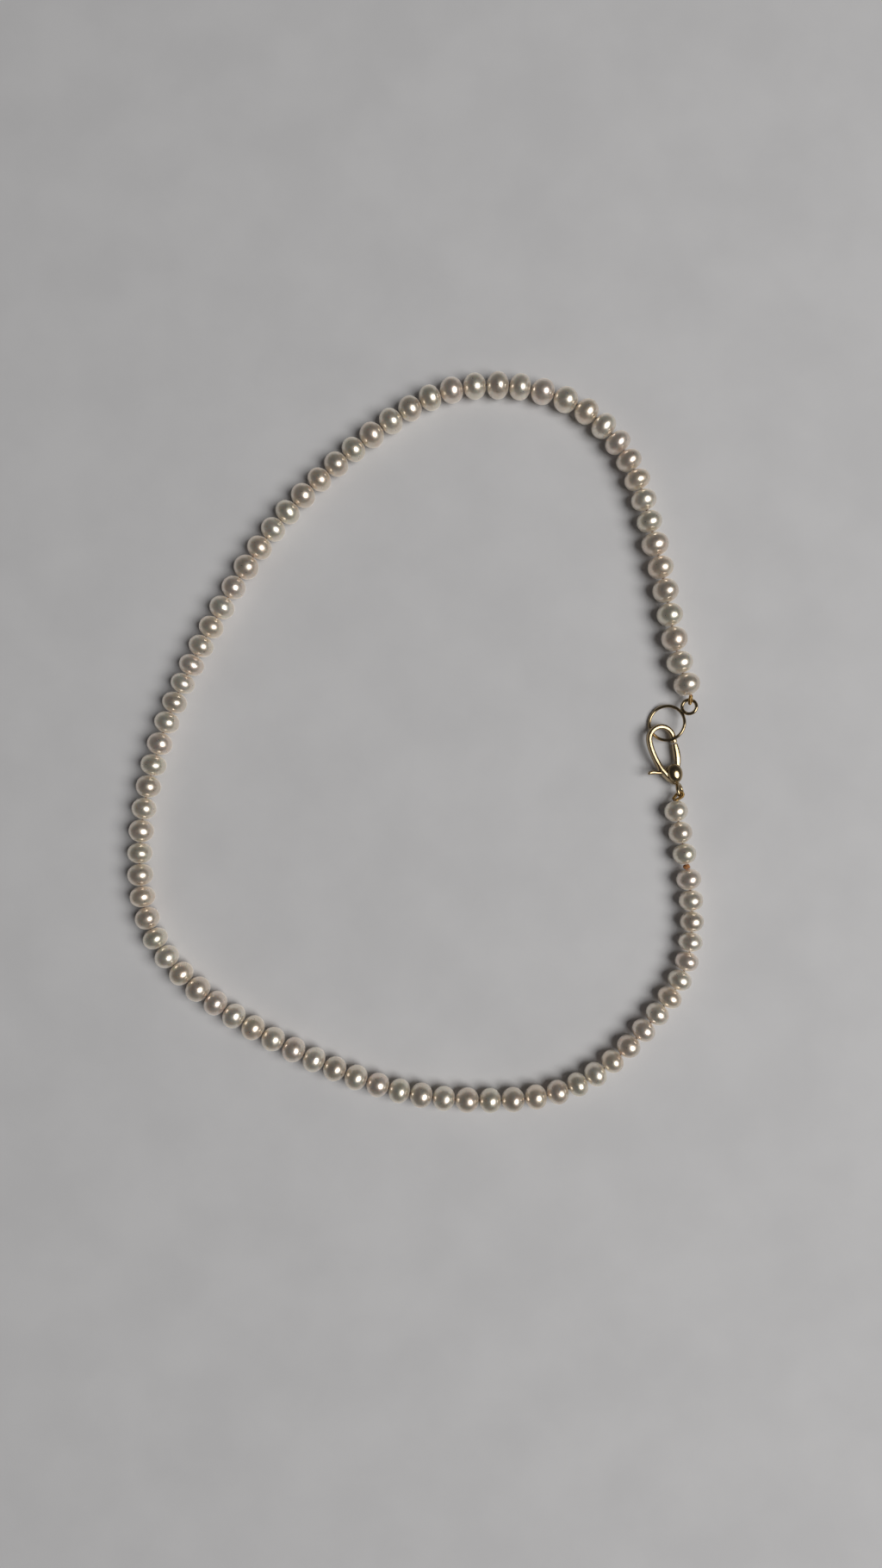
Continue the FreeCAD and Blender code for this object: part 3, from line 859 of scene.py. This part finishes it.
def turned(profile, stretch=None):
    """A closed solid turned about the pivot from (radius, height) points, first to last."""
    turn = np.linspace(0, 2 * math.pi, BAR_AROUND * 2, endpoint=False)
    around = len(turn)
    vertices = []
    for radius, height in profile:
        for t in turn:
            point = (radius * math.cos(t), radius * math.sin(t), height)
            vertices.append(stretch(*point) if stretch else point)
    faces = []
    for i in range(len(profile) - 1):
        for k in range(around):
            m = (k + 1) % around
            faces.append((i * around + k, i * around + m,
                          (i + 1) * around + m, (i + 1) * around + k))
    faces.append(tuple(range(around))[::-1])
    faces.append(tuple((len(profile) - 1) * around + k for k in range(around)))
    return np.array(vertices), faces


def flat_stations(outline):
    """Stations for a bar that lies level with the pivot."""
    return [(*place, 0, *half) for place, half in outline]


def hub_stations():
    """Stations for the closed bar round the pivot."""
    radius, half_wide, half_high = HUB
    turn = np.linspace(0, 2 * math.pi, HUB_STATIONS, endpoint=False)
    return [(radius * math.cos(t), radius * math.sin(t), 0, half_wide, half_high) for t in turn]


def clasp_piece(name, parts, node):
    """One piece of the clasp from meshes in its flat frame."""
    vertices, faces = joined(parts)
    piece = new_piece(name, placed(vertices), faces, GOLD)
    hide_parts(node)
    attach(piece, BODY_OF[node])


def hook_stations():
    """The cast hook's bar, from its nose over the bow and down the back to the eye."""
    x, y, radius = BOW
    places = [(x + radius, NOSE_END), (x + radius, (NOSE_END + y) / 2)]
    bow = []
    for degrees in range(0, 181, BOW_STEP):
        t = math.radians(degrees)
        bow.append(((x + radius * math.cos(t), y + radius * math.sin(t)), BOW_HALF))
    return flat_stations([*zip(places, NOSE_HALVES), *bow, *BACK])


def build_clasp():
    """The hook with its boss, the trigger with its gate and tab, and the rivet."""
    def off_pivot(x, y, z):
        """Shifts the boss to its place, but leaves its hole round the rivet."""
        share = min(1.0, max(0.0, math.hypot(x, y) - SHIFT_FROM) / SHIFT_OVER)
        return x + BOSS_SHIFT[0] * share, y + BOSS_SHIFT[1] * share, z

    cheeks = []
    for middle in (CHEEK_MIDDLE, -CHEEK_MIDDLE):
        cheeks.append(turned([(radius, middle + height) for radius, height in CHEEK], off_pivot))
    lug = bar(flat_stations(LUG), power=2.6, count=24)
    hook = bar(hook_stations(), power=3.3, count=150, blunt=0.4)
    clasp_piece("clasp_hook", [hook, lug, *cheeks], "clasp_body")

    hub = bar(hub_stations(), power=4)
    gate = bar(flat_stations(GATE), power=3.3, count=70, blunt=0.4)
    tab = bar(flat_stations(TAB), power=2.3, count=60)
    clasp_piece("clasp_trigger", [hub, gate, tab], "clasp_lever")

    def egg(x, y, z):
        """Draws the dome out towards the eye and makes it narrower there."""
        narrow = 1.0 + EGG * y / DOME[1]
        return x * narrow * DOME[0] + BOSS_SHIFT[0], y * DOME[1] + BOSS_SHIFT[1], z

    rise = np.linspace(0.0, math.pi / 2 - DOME_TIP, DOME_RINGS)
    dome = [(math.cos(r), DOME_FOOT + DOME_LIFT + DOME[2] * math.sin(r)) for r in rise]
    foot = [(share, DOME_FOOT + height) for share, height in DOME_EDGE]
    head = turned([*foot, *dome], egg)
    shank = turned([(SHANK, SHANK_END), (SHANK, DOME_FOOT + SHANK_IN_DOME)])
    tail = turned(TAIL)
    clasp_piece("clasp_rivet", [head, shank, tail], "lever_pin")


def finish_cad_node(node, material):
    """Gives a CAD node that stays in view its material."""
    piece = frame["nodes"][node]
    piece.data.materials.clear()
    piece.data.materials.append(material)


# ---- Stage --------------------------------------------------------------------------------

def build_stage():
    """Floor, window, room light and camera."""
    scene = bpy.context.scene
    bpy.ops.mesh.primitive_plane_add(size=FLOOR_SIZE, location=(0, 0, CAD_BOX[0][2]))
    floor = bpy.context.object
    floor.name = "floor"
    floor.data.materials.append(PAPER)

    way = Vector(WINDOW_WAY).normalized()
    lamp = bpy.data.lights.new("window", "AREA")
    lamp.shape = "DISK"
    lamp.size = WINDOW_SIZE
    lamp.energy = WINDOW_POWER
    lamp.color = WINDOW_COLOUR
    window = bpy.data.objects.new("window", lamp)
    window.location = way * WINDOW_DISTANCE
    window.rotation_euler = way.to_track_quat("Z", "Y").to_euler()
    scene.collection.objects.link(window)

    world = bpy.data.worlds.new("room")
    world.use_nodes = True
    nodes, links = world.node_tree.nodes, world.node_tree.links
    direction = nodes.new("ShaderNodeTexCoord")
    parts = nodes.new("ShaderNodeSeparateXYZ")
    links.new(direction.outputs["Generated"], parts.inputs["Vector"])
    colours = [ROOM_WALLS, ROOM_OVERHEAD]
    room = ramp(nodes, links, parts.outputs["Z"], WALLS_UP_TO, OVERHEAD_FROM, colours)
    links.new(room, nodes["Background"].inputs["Color"])
    scene.world = world

    lens = bpy.data.cameras.new("camera")
    lens.sensor_width = CAMERA_SENSOR
    lens.lens = CAMERA_LENS
    lens.clip_start = CAMERA_CLIP
    camera = bpy.data.objects.new("camera", lens)
    camera.location = (*CAMERA_PLACE, CAMERA_HEIGHT)
    scene.collection.objects.link(camera)
    scene.camera = camera
    scene.view_settings.view_transform = "Standard"


# ---- Scene --------------------------------------------------------------------------------

STRAND = measured_pearls()
build_pearls(STRAND)
build_thread(STRAND)
build_knot(STRAND)
build_ring("large_ring", LARGE_WIRE)
SMALL_RING = build_ring("small_ring", SMALL_WIRE)
EYE = build_ring("clasp_end_ring", EYE_WIRE)
JOINTS = strand_joints(STRAND)
build_french_wire("french_wire_clasp_side", EYE, EYE_WIRE, JOINTS[0])
build_french_wire("french_wire_ring_side", SMALL_RING, SMALL_WIRE, JOINTS[-1])
CLASP = clasp_frame()
build_clasp()
finish_cad_node("lever_spring", STEEL)
build_stage()
